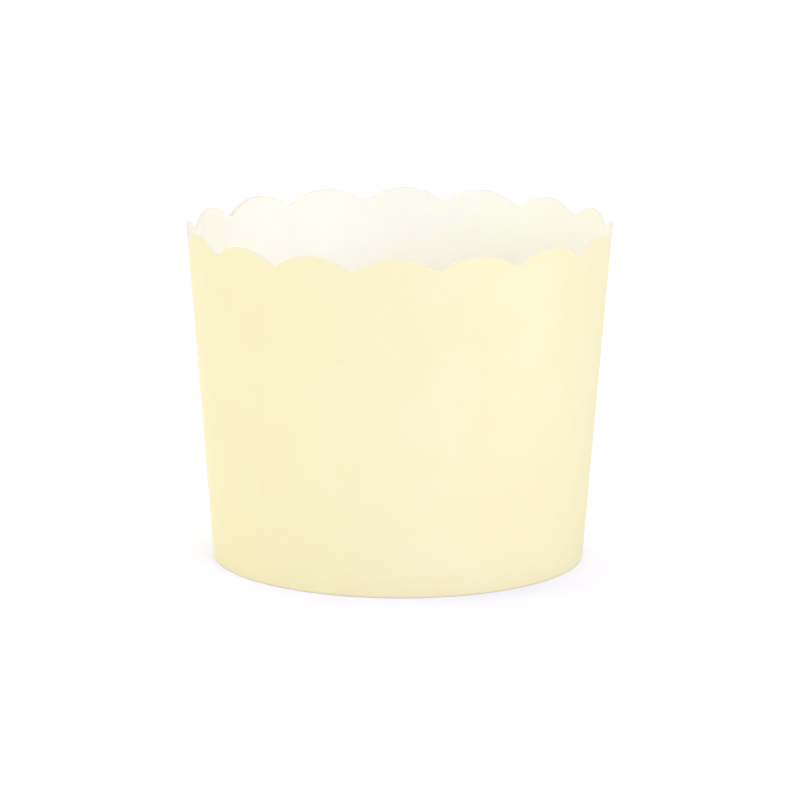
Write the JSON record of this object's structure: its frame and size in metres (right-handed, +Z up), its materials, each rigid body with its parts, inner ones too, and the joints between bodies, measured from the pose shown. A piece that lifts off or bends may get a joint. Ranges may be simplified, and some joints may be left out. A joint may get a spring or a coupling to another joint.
{
  "type": "cupcake liner",
  "caption": "Free-standing baking cup of smooth card with a scalloped rim, a wrapped and glued tapered wall and a separate recessed base.",
  "frame": {"origin": "centre of the ring that the cup stands on, at table level", "axes": "+Z up along the cup's axis; -Y is the side the picture shows; +X to the right of it"},
  "size_m": [0.057, 0.057, 0.0455],
  "materials": {
    "yellow_card": "smooth coated card, pale yellow outside and off-white inside, satin, with a faint pebbled grain",
    "white_card": "off-white coated card, satin, with a faint pebbled grain"
  },
  "bodies": {
    "root": {"side_wall": "yellow_card", "base_disc": "white_card"}
  },
  "joints": []
}
